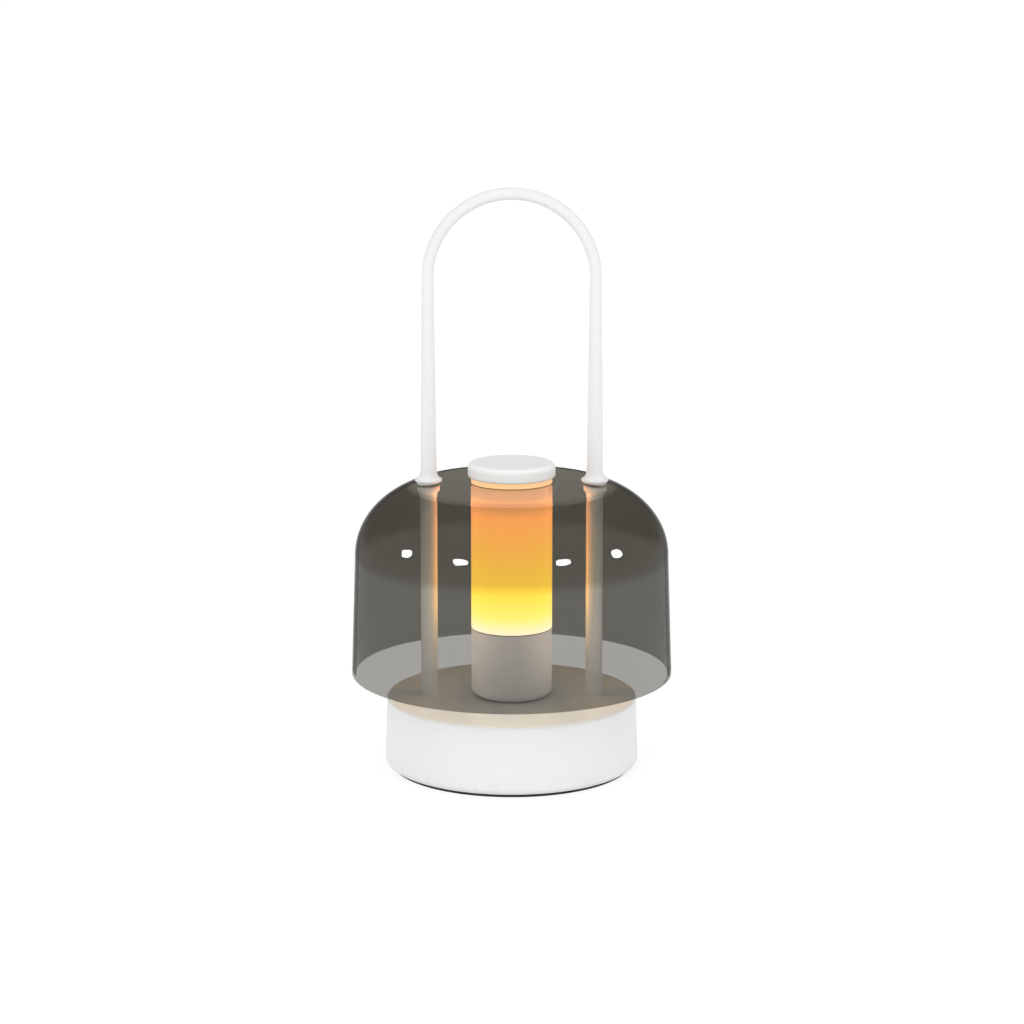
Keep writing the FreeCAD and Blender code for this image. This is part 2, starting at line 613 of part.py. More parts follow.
def driver_components():
    """Coil, capacitor, chips and wire terminals that stand on the driver board."""
    top = BOARD_TOP
    coil = cylinder(COIL_RADIUS, top, top + COIL_HEIGHT, *COIL_PLACE)
    capacitor = cylinder(CAPACITOR_RADIUS, top, top + CAPACITOR_HEIGHT, *CAPACITOR_PLACE)
    controller = block(CONTROLLER_X, CONTROLLER_Y, (top, top + CHIP_HEIGHT))
    charger = block(CHARGER_X, CHARGER_Y, (top, top + CHIP_HEIGHT))
    led_terminal = block((-LED_TERMINAL_HALF, LED_TERMINAL_HALF),
                         (-TERMINAL_DEPTH / 2, TERMINAL_DEPTH / 2), (top, TERMINAL_TOP))
    edge_x = BOARD_LENGTH / 2 - BOARD_EDGE
    battery_terminal = block((edge_x - TERMINAL_DEPTH, edge_x),
                             (-BATTERY_TERMINAL_HALF, BATTERY_TERMINAL_HALF), (top, TERMINAL_TOP))
    edge_y = BOARD_WIDTH / 2 - BOARD_EDGE
    rear_terminal = block((-REAR_TERMINAL_HALF, REAR_TERMINAL_HALF), (edge_y - TERMINAL_DEPTH, edge_y),
                          (top, TERMINAL_TOP))
    return group([coil, capacitor, controller, charger,
                  led_terminal, battery_terminal, rear_terminal])


def rear_board():
    back = REAR_BOARD_FRONT - BOARD_THICKNESS
    half = REAR_BOARD_WIDTH / 2
    board = block((-half, half), (back, REAR_BOARD_FRONT),
                  (REAR_BOARD_LOW, REAR_BOARD_LOW + REAR_BOARD_HEIGHT))
    holes = [rod_y(REAR_SCREW[SHANK] + THREAD_GAP, back - PAST, REAR_BOARD_FRONT + PAST,
                   side * REAR_PILLAR_X, REAR_PILLAR_Z) for side in (-1, 1)]
    return board.cut(joined_tool(holes))


def rear_board_screws():
    seat = REAR_BOARD_FRONT - BOARD_THICKNESS
    screws = []
    for side in (-1, 1):
        x = side * REAR_PILLAR_X
        shank = rod_y(REAR_SCREW[SHANK], seat, seat + REAR_SCREW[LENGTH], x, REAR_PILLAR_Z)
        head = rod_y(REAR_SCREW[HEAD], seat - REAR_SCREW[HEAD_HEIGHT], seat, x, REAR_PILLAR_Z)
        screws.append(shank.fuse(head).removeSplitter())
    return group(screws)


def charging_socket():
    """Metal socket shell with its inner tongue, standing on the rear board."""
    start = REAR_BOARD_FRONT
    end = start + SOCKET_LENGTH
    shell = rounded_block_y(SOCKET_WIDTH, SOCKET_HEIGHT, start, end, SOCKET_Z,
                            SOCKET_HEIGHT / 2 - THREAD_GAP)
    inner_height = SOCKET_HEIGHT - 2 * SOCKET_SHELL
    hollow = rounded_block_y(SOCKET_WIDTH - 2 * SOCKET_SHELL, inner_height, start + SOCKET_BACK,
                             end + PAST, SOCKET_Z, inner_height / 2 - THREAD_GAP)
    tongue = block((-TONGUE_WIDTH / 2, TONGUE_WIDTH / 2), (start + EMBED, end - TONGUE_INSET),
                   (SOCKET_Z - TONGUE_HEIGHT / 2, SOCKET_Z + TONGUE_HEIGHT / 2))
    return shell.cut(hollow).fuse(tongue).removeSplitter()


def port_door():
    """Door with the knuckle that turns on its pin."""
    half = DOOR_WIDTH / 2
    plate = block((-half, half), (DOOR_OUTER - DOOR_THICKNESS, DOOR_OUTER), (DOOR_PIN_Z, DOOR_TOP))
    rim = [edge for edge in plate.Edges if abs(edge.CenterOfMass.y - DOOR_OUTER) < 1e-6
           and edge.CenterOfMass.z > DOOR_TOP - 0.01]
    plate = plate.makeFillet(DOOR_EDGE_ROUND, rim)
    knuckle = rod_x(KNUCKLE_RADIUS, -half, half, DOOR_PIN_Y, DOOR_PIN_Z)
    bore = rod_x(DOOR_PIN_RADIUS + RUN_GAP, -half - PAST, half + PAST, DOOR_PIN_Y, DOOR_PIN_Z)
    return plate.fuse(knuckle).cut(bore).removeSplitter()


def door_pin():
    reach = POCKET_HALF + DOOR_PIN_HOLD
    return rod_x(DOOR_PIN_RADIUS, -reach, reach, DOOR_PIN_Y, DOOR_PIN_Z)


# ---------------------------------------------------------------- power button
def power_button():
    """Cap with a flange that stops it from the inside, and a stem on the switch."""
    flange_back = BUTTON_SEAT - BUTTON_FLANGE
    cap = rod_y(BUTTON_RADIUS, flange_back, BUTTON_FACE, 0, BUTTON_Z)
    face = [edge for edge in cap.Edges if edge.Closed and abs(edge.CenterOfMass.y - BUTTON_FACE) < 1e-6]
    cap = cap.makeFillet(BUTTON_EDGE_ROUND, face)
    flange = rod_y(FLANGE_RADIUS, flange_back, BUTTON_SEAT, 0, BUTTON_Z)
    stem = rod_y(BUTTON_STEM_RADIUS, PLUNGER_TIP, flange_back + EMBED, 0, BUTTON_Z)
    return joined([cap, flange, stem])


def switch_body():
    half = SWITCH_SIDE / 2
    top = REAR_BOARD_FRONT + SWITCH_HEIGHT
    body = block((-half, half), (REAR_BOARD_FRONT, top), (BUTTON_Z - half, BUTTON_Z + half))
    well = rod_y(PLUNGER_RADIUS + RUN_GAP, top - PLUNGER_DEPTH - BUTTON_TRAVEL - RUN_GAP,
                 top + PAST, 0, BUTTON_Z)
    return body.cut(well)


def switch_plunger():
    start = REAR_BOARD_FRONT + SWITCH_HEIGHT - PLUNGER_DEPTH
    return rod_y(PLUNGER_RADIUS, start, PLUNGER_TIP, 0, BUTTON_Z)


# ---------------------------------------------------------------- lamp holder and light source
def lamp_holder():
    """Turned cup on the base, with the seat that carries the heat sink."""
    low, top, outer = BASE_TOP, HOLDER_TOP, TUBE_RADIUS
    foot = outer - HOLDER_ROUND
    cup = turned([
        line((GROMMET_RADIUS, low), (foot, low)),
        corner((foot, low + HOLDER_ROUND), HOLDER_ROUND, -90, 0),
        line((outer, low + HOLDER_ROUND), (outer, top)),
        line((outer, top), (HOLDER_BORE, top)),
        line((HOLDER_BORE, top), (HOLDER_BORE, LEDGE_Z)),
        line((HOLDER_BORE, LEDGE_Z), (LEDGE_BORE, LEDGE_Z)),
        line((LEDGE_BORE, LEDGE_Z), (LEDGE_BORE, low + HOLDER_FLOOR)),
        line((LEDGE_BORE, low + HOLDER_FLOOR), (GROMMET_RADIUS, low + HOLDER_FLOOR)),
        line((GROMMET_RADIUS, low + HOLDER_FLOOR), (GROMMET_RADIUS, low)),
    ])
    reach = CEILING + HOLDER_SCREW[LENGTH]
    holes = [cylinder(HOLDER_SCREW[SHANK] + THREAD_GAP, low - PAST, reach + TOUCH_GAP, x, y)
             for x, y in HOLDER_PLACES]
    return cup.cut(joined_tool(holes))


def heat_sink():
    """Plate on the holder's seat with a core and radial fins below it."""
    plate = cylinder(HOLDER_BORE - THREAD_GAP, LEDGE_Z, SINK_TOP)
    low = LEDGE_Z - SINK_FIN_DEPTH
    core = cylinder(SINK_CORE_RADIUS, low, LEDGE_Z)
    reach = LEDGE_BORE - TOUCH_GAP
    half = SINK_FIN_THICKNESS / 2
    fin = block((SINK_CORE_RADIUS - EMBED, reach), (-half, half), (low, LEDGE_Z))
    fins = [fin.rotated(V(0, 0, 0), V(0, 0, 1), 360 * i / SINK_FIN_COUNT)
            for i in range(SINK_FIN_COUNT)]
    body = joined([plate, core] + fins)
    holes = [cylinder(SINK_WIRE_RADIUS, low - PAST, SINK_TOP + PAST)]
    seat = LED_BOARD_TOP - LED_SCREW[LENGTH]
    holes += [cylinder(LED_SCREW[SHANK] + THREAD_GAP, seat - TOUCH_GAP, SINK_TOP + PAST, x, y)
              for x, y in LED_PLACES]
    return body.cut(joined_tool(holes))


def led_board():
    board = cylinder(LED_BOARD_RADIUS, SINK_TOP, LED_BOARD_TOP)
    holes = [cylinder(LED_SCREW[SHANK] + THREAD_GAP, SINK_TOP - PAST, LED_BOARD_TOP + PAST, x, y)
             for x, y in LED_PLACES]
    return board.cut(joined_tool(holes))


def led_emitter():
    return cylinder(LED_RADIUS, LED_BOARD_TOP, LED_BOARD_TOP + LED_THICKNESS)


def reflector():
    """White cone round the emitter. Its outer wall centres the diffuser."""
    outer = HOLDER_BORE - TOUCH_GAP / 2
    inner = outer - REFLECTOR_WALL
    top = HOLDER_TOP + REFLECTOR_SPIGOT
    throat = LED_RADIUS + EMITTER_GAP
    throat_z = LED_BOARD_TOP + LED_THICKNESS
    return turned(polygon([
        (outer, SINK_TOP), (outer, top), (inner + REFLECTOR_LIP, top),
        (throat, throat_z + REFLECTOR_WALL),
        (throat, throat_z), (inner, top - 2 * REFLECTOR_WALL), (inner, SINK_TOP),
    ]))


def tube_seal():
    return ring(TUBE_RADIUS - SEAL_INSET, HOLDER_BORE, HOLDER_TOP, DIFFUSER_LOW)


def diffuser_tube():
    return ring(TUBE_RADIUS, DIFFUSER_BORE, DIFFUSER_LOW, DIFFUSER_TOP)


def tube_cap():
    """Round-edged cap with a groove for the diffuser's end and a spigot inside it."""
    low, top = CAP_UNDERSIDE, CAP_UNDERSIDE + CAP_HEIGHT
    foot, shelf = CAP_RADIUS - CAP_LOW_ROUND, CAP_RADIUS - CAP_TOP_ROUND
    body = turned([
        line((0, low), (foot, low)),
        corner((foot, low + CAP_LOW_ROUND), CAP_LOW_ROUND, -90, 0),
        line((CAP_RADIUS, low + CAP_LOW_ROUND), (CAP_RADIUS, top - CAP_TOP_ROUND)),
        corner((shelf, top - CAP_TOP_ROUND), CAP_TOP_ROUND, 0, 90),
        line((shelf, top), (0, top)),
        line((0, top), (0, low)),
    ])
    spigot_outer = DIFFUSER_BORE - THREAD_GAP
    spigot = ring(spigot_outer, spigot_outer - CAP_SPIGOT_WALL, low - CAP_SPIGOT, low + EMBED)
    groove = ring(TUBE_RADIUS + THREAD_GAP, spigot_outer, low - PAST, DIFFUSER_TOP)
    return body.fuse(spigot).cut(groove).removeSplitter()


# ---------------------------------------------------------------- smoked glass bell
def shoulder_point(turn, inset):
    """Point of the shoulder ellipse, set in by a wall. turn is measured from the vertical."""
    across = SHOULDER_RADIUS - SHOULDER_CENTRE
    crease_turn = math.asin((CREASE_RADIUS - SHOULDER_CENTRE) / across)
    rise = (CREASE_HEIGHT - SHOULDER_HEIGHT) / math.cos(crease_turn)
    return (SHOULDER_CENTRE + (across - inset) * math.sin(turn),
            SHOULDER_HEIGHT + (rise - inset) * math.cos(turn))


def crease_turn(inset):
    """Where the crown meets the shoulder, on the outer face or on the inner one."""
    low, high = 0.0, math.pi / 2
    for _ in range(60):
        turn = (low + high) / 2
        radius, height = shoulder_point(turn, inset)
        if height > crown_height(radius, inset):
            low = turn
        else:
            high = turn
    return turn


def shoulder_arc(inset):
    """Edge of the shoulder ellipse from the crease down to the wall."""
    centre = at(SHOULDER_CENTRE, SHOULDER_HEIGHT)
    side = at(*shoulder_point(math.pi / 2, inset))
    top = at(*shoulder_point(0, inset))
    across, rise = (side - centre).Length, (top - centre).Length
    major, minor = (side, top) if across >= rise else (top, side)
    ellipse = Part.Ellipse(major, minor, centre)
    start = ellipse.parameter(at(*shoulder_point(crease_turn(inset), inset)))
    end = ellipse.parameter(side)
    start, end = (math.remainder(value, 2 * math.pi) for value in (start, end))
    return Part.ArcOfEllipse(ellipse, min(start, end), max(start, end)).toShape()


def crown_arc(inset, edge_radius):
    """Edge of the shallow crown from the tube's hole to the crease."""
    crease = shoulder_point(crease_turn(inset), inset)
    middle = (edge_radius + crease[0]) / 2
    edge = (edge_radius, crown_height(edge_radius, inset))
    return arc(edge, (middle, crown_height(middle, inset)), crease)


def glass_shade():
    """Bell of even wall: crown with a hole, creased shoulder and slightly flared wall."""
    hole = TUBE_RADIUS + GLASS_TUBE_GAP
    wall = GLASS_WALL
    rim = RIM_HEIGHT + wall / 2
    bell = turned([
        crown_arc(0, hole),
        shoulder_arc(0),
        line((SHOULDER_RADIUS, SHOULDER_HEIGHT), (RIM_RADIUS, rim)),
        corner((RIM_RADIUS - wall / 2, rim), wall / 2, 0, -180),
        line((RIM_RADIUS - wall, rim), (SHOULDER_RADIUS - wall, SHOULDER_HEIGHT)),
        shoulder_arc(wall),
        crown_arc(wall, hole),
        line((hole, crown_height(hole, wall)), (hole, crown_height(hole))),
    ])
    holes = [cylinder(GLASS_HOLE_RADIUS, POST_TOP - PAST, COLLAR_LOW + PAST, x, 0)
             for x in POST_PLACES.values()]
    return bell.cut(joined_tool(holes))


def crown_solid(depth):
    """Ball whose surface is the crown's upper face, or the face that lies depth below it."""
    return Part.makeSphere(CROWN_RADIUS - depth, V(0, 0, CROWN_CENTRE))


def upper_gasket(x):
    """Washer between glass and collar, its lower face moulded to the crown."""
    washer = ring(GASKET_RADIUS, STUD_RADIUS + THREAD_GAP, COLLAR_LOW - GASKET_BLANK, COLLAR_LOW, x)
    return washer.cut(crown_solid(0))


def lower_gasket(x):
    """Washer between post and glass, its upper face moulded to the crown's inner face."""
    washer = ring(GASKET_RADIUS, STUD_RADIUS + THREAD_GAP, POST_TOP, POST_TOP + GASKET_BLANK, x)
    return washer.common(crown_solid(GLASS_WALL))


# ---------------------------------------------------------------- posts and handle
def support_post(x):
    """Tube from the base to the glass, with a wider head under the gasket."""
    disc_low = POST_TOP - POST_HEAD_DISC
    head = Part.makeCone(POST_RADIUS, GASKET_RADIUS, POST_HEAD_CONE,
                         V(x, 0, disc_low - POST_HEAD_CONE))
    disc = cylinder(GASKET_RADIUS, disc_low, POST_TOP, x)
    body = joined([cylinder(POST_RADIUS, BASE_TOP, disc_low, x), head, disc])
    return body.cut(cylinder(STUD_RADIUS + THREAD_GAP, BASE_TOP - PAST, POST_TOP + PAST, x))


def handle_stud(x):
    return cylinder(STUD_RADIUS, POST_TOP - STUD_REACH, COLLAR_LOW + STUD_REACH, x)


def handle_collar(x):
    """Flared collar round the handle's end, with a rounded rim on the gasket."""
    low = COLLAR_LOW
    rim_top = low + COLLAR_RIM
    top = rim_top + COLLAR_FLARE
    bore = HANDLE_LOW_RADIUS + THREAD_GAP
    edge = COLLAR_RADIUS - COLLAR_RIM_ROUND
    lip = bore + COLLAR_LIP
    hollow = ((edge + lip) / 2 - COLLAR_HOLLOW * COLLAR_FLARE,
              rim_top + COLLAR_FLARE / 2 - COLLAR_HOLLOW * (edge - lip))
    collar = turned([
        line((bore, low), (edge, low)),
        corner((edge, low + COLLAR_RIM_ROUND), COLLAR_RIM_ROUND, -90, 0),
        line((COLLAR_RADIUS, low + COLLAR_RIM_ROUND), (COLLAR_RADIUS, rim_top - COLLAR_RIM_ROUND)),
        corner((edge, rim_top - COLLAR_RIM_ROUND), COLLAR_RIM_ROUND, 0, 90),
        arc((edge, rim_top), hollow, (lip, top)),
        line((lip, top), (bore, top)),
        line((bore, top), (bore, low)),
    ])
    collar.translate(V(x, 0, 0))
    return collar


def bow(radius_low, radius_bow, low):
    """Two tapering legs joined by half a torus."""
    height = HANDLE_BOW_CENTRE - low
    legs = [Part.makeCone(radius_low, radius_bow, height, V(x, 0, low))
            if radius_low != radius_bow else Part.makeCylinder(radius_low, height, V(x, 0, low))
            for x in POST_PLACES.values()]
    section = Part.Face(Part.Wire(Part.makeCircle(radius_bow, V(POST_OFFSET, 0, HANDLE_BOW_CENTRE),
                                                  V(0, 0, 1))))
    half_torus = section.revolve(V(0, 0, HANDLE_BOW_CENTRE), V(0, -1, 0), 180)
    return joined([half_torus] + legs)


def handle():
    """Bow of tapered tube with a straight bore that takes the studs."""
    bore = STUD_RADIUS + THREAD_GAP
    outer = bow(HANDLE_LOW_RADIUS, HANDLE_BOW_RADIUS, COLLAR_LOW)
    return outer.cut(bow(bore, bore, COLLAR_LOW - PAST))


# ---------------------------------------------------------------- wires
def wire_grommet():
    """Rubber grommet in the hole between base and holder."""
    body = ring(GROMMET_RADIUS, GROMMET_BORE, CEILING - GROMMET_LIP, BASE_TOP + HOLDER_FLOOR)
    lip = ring(GROMMET_RADIUS + GROMMET_LIP, GROMMET_BORE, CEILING - GROMMET_LIP, CEILING)
    return body.fuse(lip).removeSplitter()


def led_wires():
    """Pair from the driver board up through the grommet and heat sink to the light's board."""
    pair = []
    for side in (-1, 1):
        x = side * WIRE_SPACING / 2
        pair.append(cylinder(WIRE_RADIUS, TERMINAL_TOP, SINK_TOP, x))
    return group(pair)


def battery_wires():
    """Pair from the cells' right end strip up past the board's edge to its terminal."""
    strip_x = CELL_LENGTH / 2 + CONTACT_THICKNESS
    rise_x = strip_x + WIRE_BEND + WIRE_LEAD
    start_z = CELL_Z + CONTACT_WIDTH / 2 - WIRE_RADIUS
    terminal_x = BOARD_LENGTH / 2 - BOARD_EDGE
    pair = []
    for side in (-1, 1):
        y = side * WIRE_SPACING
        route = [V(strip_x, y, start_z), V(rise_x, y, start_z), V(rise_x, y, TERMINAL_Z),
                 V(terminal_x, y, TERMINAL_Z)]
        pair.append(wire(route, WIRE_RADIUS))
    return group(pair)


def rear_wires():
    """Three wires from the rear board to the driver board's rear terminal."""
    board_y = REAR_BOARD_FRONT - BOARD_THICKNESS
    terminal_y = BOARD_WIDTH / 2 - BOARD_EDGE
    low = TERMINAL_Z - REAR_WIRE_DROP
    third = (board_y - terminal_y) / 3
    wires = []
    for place in (-1, 0, 1):
        x = place * WIRE_SPACING
        route = [V(x, board_y, low), V(x, board_y - third, low), V(x, terminal_y + third, TERMINAL_Z),
                 V(x, terminal_y, TERMINAL_Z)]
        wires.append(wire(route, WIRE_RADIUS))
    return group(wires)


# ---------------------------------------------------------------- all nodes
def screws(size, places, seat, upward=True):
    return group([pan_screw(size, x, y, seat, upward) for x, y in places])


def build_nodes():
    """Every node's name and shape."""
    nodes = {
        "foot_pad": foot_pad(),
        "base_shell": base_shell(),
        "base_plate": base_plate(),
        "plate_screws": group([flat_screw(PLATE_SCREW, x, y, BASE_LOW) for x, y in COVER_PLACES]),
        "ballast_weight": ballast(),
        "ballast_screws": group([flat_screw(BALLAST_SCREW, x, y, BASE_LOW) for x, y in BALLAST_PLACES]),
        "battery_tray": battery_tray(),
        "battery_cell_front": battery_cell(-1),
        "battery_cell_rear": battery_cell(1),
        "cell_contact_left": cell_contact(-1),
        "cell_contact_right": cell_contact(1),
        "battery_strap": battery_strap(),
        "tray_screws": screws(TRAY_SCREW, [(0, -EAR_Y), (0, EAR_Y)], TRAY_TOP + STRAP_THICKNESS, False),
        "driver_board": driver_board(),
        "driver_components": driver_components(),
        "board_screws": screws(BOARD_SCREW, BOARD_PLACES, BOARD_LOW),
        "rear_board": rear_board(),
        "rear_board_screws": rear_board_screws(),
        "charging_socket": charging_socket(),
        "port_door": port_door(),
        "door_pin": door_pin(),
        "power_button": power_button(),
        "switch_body": switch_body(),
        "switch_plunger": switch_plunger(),
        "lamp_holder": lamp_holder(),
        "holder_screws": screws(HOLDER_SCREW, HOLDER_PLACES, CEILING),
        "heat_sink": heat_sink(),
        "led_board": led_board(),
        "led_board_screws": screws(LED_SCREW, LED_PLACES, LED_BOARD_TOP, False),
        "led_emitter": led_emitter(),
        "reflector": reflector(),
        "tube_seal": tube_seal(),
        "diffuser_tube": diffuser_tube(),
        "tube_cap": tube_cap(),
        "glass_shade": glass_shade(),
        "handle": handle(),
        "post_screws": screws(POST_SCREW, [(x, 0) for x in POST_PLACES.values()], CEILING),
        "wire_grommet": wire_grommet(),
        "led_wires": led_wires(),
        "battery_wires": battery_wires(),
        "rear_wires": rear_wires(),
    }
    for side, x in POST_PLACES.items():
        nodes["support_post_" + side] = support_post(x)
        nodes["handle_stud_" + side] = handle_stud(x)
        nodes["lower_gasket_" + side] = lower_gasket(x)
        nodes["upper_gasket_" + side] = upper_gasket(x)
        nodes["handle_collar_" + side] = handle_collar(x)
    return nodes


def main():
    os.makedirs(PARTS_FOLDER, exist_ok=True)
    for name, shape in build_nodes().items():
        shape.exportStep(os.path.join(PARTS_FOLDER, name + ".step"))
        low, high = shape.BoundBox.ZMin, shape.BoundBox.ZMax
        print("%-20s solids %d  volume %9.1f  z %7.2f to %7.2f  valid %s"
              % (name, len(shape.Solids), shape.Volume, low, high, shape.isValid()))


main()
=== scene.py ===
"""The looks of a cordless lantern lamp: its finishes, the light round it and the camera."""

import json
from math import asin, atan2, cos, degrees, pi, radians, sin

import bpy
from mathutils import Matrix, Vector


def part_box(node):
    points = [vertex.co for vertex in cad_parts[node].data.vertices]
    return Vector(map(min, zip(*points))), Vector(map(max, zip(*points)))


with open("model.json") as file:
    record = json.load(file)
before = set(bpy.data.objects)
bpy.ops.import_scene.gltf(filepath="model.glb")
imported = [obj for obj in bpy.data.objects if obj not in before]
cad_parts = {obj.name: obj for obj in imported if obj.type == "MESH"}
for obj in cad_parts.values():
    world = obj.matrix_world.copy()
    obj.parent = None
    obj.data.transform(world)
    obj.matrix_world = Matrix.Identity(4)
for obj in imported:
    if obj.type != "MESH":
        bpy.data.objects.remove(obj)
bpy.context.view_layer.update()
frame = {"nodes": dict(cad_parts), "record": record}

WHITE = (1.0, 1.0, 1.0)

# ---------------------------------------------------------------- the lamp's own shape

BELL_WALL = 0.0025
GLASS_SPAN = 0.13
RIM_RADIUS, RIM_HEIGHT = 0.1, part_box("glass_shade")[0][2]
SHOULDER_RADIUS, SHOULDER_HEIGHT = 0.0974, RIM_HEIGHT + 0.076
SKIRT_TAPER = (RIM_RADIUS - SHOULDER_RADIUS) / (SHOULDER_HEIGHT - RIM_HEIGHT)
ROUND_CENTRE, ROUND_RISE = 0.041, 0.04706
CREASE_RADIUS, CREASE_HEIGHT = 0.061, RIM_HEIGHT + 0.12
CROWN_RADIUS = 0.8
DULLING_RUN, WALL_POLISH, CROWN_POLISH = 0.004, 0.08, 0.01
TUBE_LOW, TUBE_HIGH = (corner[2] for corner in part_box("diffuser_tube"))

# ---------------------------------------------------------------- the camera

CAMERA_PITCH = radians(12.08)
CAMERA_DISTANCE = 1.974
CAMERA_AIM = 0.16133
CAMERA_SIDE = 0.0002
CAMERA_LENS = 111.94
CAMERA_SENSOR = 36.0
CAMERA_REACH = 100.0
CAMERA_PLACE = Vector(
    (
        CAMERA_SIDE,
        -CAMERA_DISTANCE * cos(CAMERA_PITCH),
        CAMERA_AIM + CAMERA_DISTANCE * sin(CAMERA_PITCH),
    )
)

# ---------------------------------------------------------------- the light round it

WORLD_LEVEL = 0.92
CEILING_STARTS = -0.05
CEILING_FULL = 0.12
CEILING_LEVEL = 0.1

FLOOR_RADIUS = 14.0
FLOOR_SIDES = 96
FLOOR_GLOW = 0.82
FLOOR_SHADE = 0.22
FLOOR_PAPER = 0.8

PANEL_DISTANCE = 2.3
PANEL_SIZE = (1.6, 1.2)
PANEL_AIM = (0.0, 0.0, 0.12)
SOFT_PANELS = [("key_panel", -28.0, 26.0, 7.0), ("fill_panel", 34.0, 20.0, 5.5)]

GLINT_DISTANCE = 1.6
GLINT_RADIANCE = 400.0
OUTER_GLINT_TURN, OUTER_GLINT_HEIGHT, OUTER_GLINT_SIZE = 42.0, SHOULDER_HEIGHT + 0.0157, (0.27, 0.3)
INNER_GLINT_TURN, INNER_GLINT_HEIGHT, INNER_GLINT_SIZE = 19.0, SHOULDER_HEIGHT + 0.0148, (0.34, 0.28)
GLINTS = [
    ("glint_left", -OUTER_GLINT_TURN, OUTER_GLINT_HEIGHT, OUTER_GLINT_SIZE),
    ("glint_right", OUTER_GLINT_TURN, OUTER_GLINT_HEIGHT, OUTER_GLINT_SIZE),
    ("glint_inner_left", -INNER_GLINT_TURN, INNER_GLINT_HEIGHT, INNER_GLINT_SIZE),
    ("glint_inner_right", INNER_GLINT_TURN, INNER_GLINT_HEIGHT, INNER_GLINT_SIZE),
]

# ---------------------------------------------------------------- the light inside the bell

BELL_TURNS = (-55.0, 55.0, 125.0, -125.0)
BELL_REACH = 0.085
BELL_SIZE = (0.04, 0.1)
BELL_SPREAD = radians(90)
BELL_POWER = 0.0205
BELL_COLOUR = (1.0, 0.86, 0.74)
BELL_MIDDLE = (0.0, 0.0, 0.117)

BASE_SIZE = (0.15, 0.15)
BASE_POWER = 0.003
BASE_COLOUR = (1.0, 0.8, 0.68)

TUBE_GLOW_TURNS = (-90.0, 90.0)
TUBE_GLOW_REACH = 0.0275
TUBE_GLOW_SIZE = (0.008, 0.085)
TUBE_GLOW_POWER = 0.026
TUBE_GLOW_COLOUR = (1.0, 0.38, 0.18)
TUBE_MIDDLE = (0.0, 0.0, 0.137)


# ---------------------------------------------------------------- material maths


class Value:
    """A socket's value, which takes part in sums written as plain expressions."""

    def __init__(self, finish, socket):
        self.finish = finish
        self.socket = socket

    def maths(self, operation, *parts):
        return self.finish.maths(operation, *parts)

    def __add__(self, other):
        return self.maths("ADD", self, other)

    __radd__ = __add__

    def __sub__(self, other):
        return self.maths("SUBTRACT", self, other)

    def __rsub__(self, other):
        return self.maths("SUBTRACT", other, self)

    def __mul__(self, other):
        return self.maths("MULTIPLY", self, other)

    __rmul__ = __mul__

    def __truediv__(self, other):
        return self.maths("DIVIDE", self, other)

    def __pow__(self, other):
        return self.maths("POWER", self, other)

    def above(self, other):
        """The larger of two values."""
        return self.maths("MAXIMUM", self, other)


class Finish:
    """A material that is built up node by node round one shader."""

    def __init__(self, name):
        self.material = bpy.data.materials.new(name)
        self.material.use_nodes = True
        self.tree = self.material.node_tree
        self.shader = self.tree.nodes["Principled BSDF"]

    def fill(self, socket, value):
        if isinstance(value, Value):
            self.tree.links.new(value.socket, socket)
        elif socket.type == "RGBA" and len(value) == 3:
            socket.default_value = (*value, 1.0)
        else:
            socket.default_value = value

    def node(self, kind, settings=None, inputs=None, output=0):
        """Adds a node, with its settings first and then what its sockets take."""
        made = self.tree.nodes.new(kind)
        for name, setting in (settings or {}).items():
            if name == "stops":
                self.stops(made.color_ramp, setting)
            else:
                setattr(made, name, setting)
        for name, value in (inputs or {}).items():
            self.fill(made.inputs[name], value)
        return Value(self, made.outputs[output])

    def maths(self, operation, *parts):
        return self.node("ShaderNodeMath", {"operation": operation}, dict(enumerate(parts)))

    def stops(self, ramp, stops):
        while len(ramp.elements) < len(stops):
            ramp.elements.new(1.0)
        for element, (place, colour) in zip(ramp.elements, stops):
            element.position = place
            element.color = (*colour, 1.0)

    def takes(self, values):
        """Gives the shader its values and links."""
        for name, value in values.items():
            self.fill(self.shader.inputs[name], value)
        return self.material

    def place(self):
        return self.node("ShaderNodeTexCoord", output="Object")

    def height(self):
        return self.node("ShaderNodeSeparateXYZ", inputs={"Vector": self.place()}, output="Z")

    def noise(self, scale, detail=2.0, vector=None):
        return self.node(
            "ShaderNodeTexNoise",
            inputs={"Vector": vector or self.place(), "Scale": scale, "Detail": detail},
            output=0,
        )

    def stretched(self, scale):
        """The place on the piece, drawn out along the axes."""
        return self.node("ShaderNodeMapping", inputs={"Vector": self.place(), "Scale": scale})

    def blend(self, share, first, second):
        return self.node(
            "ShaderNodeMix",
            {"data_type": "RGBA"},
            {0: share, 6: first, 7: second},
            output=2,
        )

    def ramp(self, share, stops):
        return self.node("ShaderNodeValToRGB", {"stops": stops}, {"Fac": share}, output="Color")

    def spread(self, value, low, high, to_low=0.0, to_high=1.0):
        """A value's stretch from low to high, spread over another stretch and clamped."""
        return self.node(
            "ShaderNodeMapRange",
            inputs={
                "Value": value,
                "From Min": low,
                "From Max": high,
                "To Min": to_low,
                "To Max": to_high,
            },
        )

    def bump(self, height, depth, strength=1.0):
        return self.node(
            "ShaderNodeBump",
            inputs={"Height": height, "Distance": depth, "Strength": strength},
        )


# ---------------------------------------------------------------- finishes


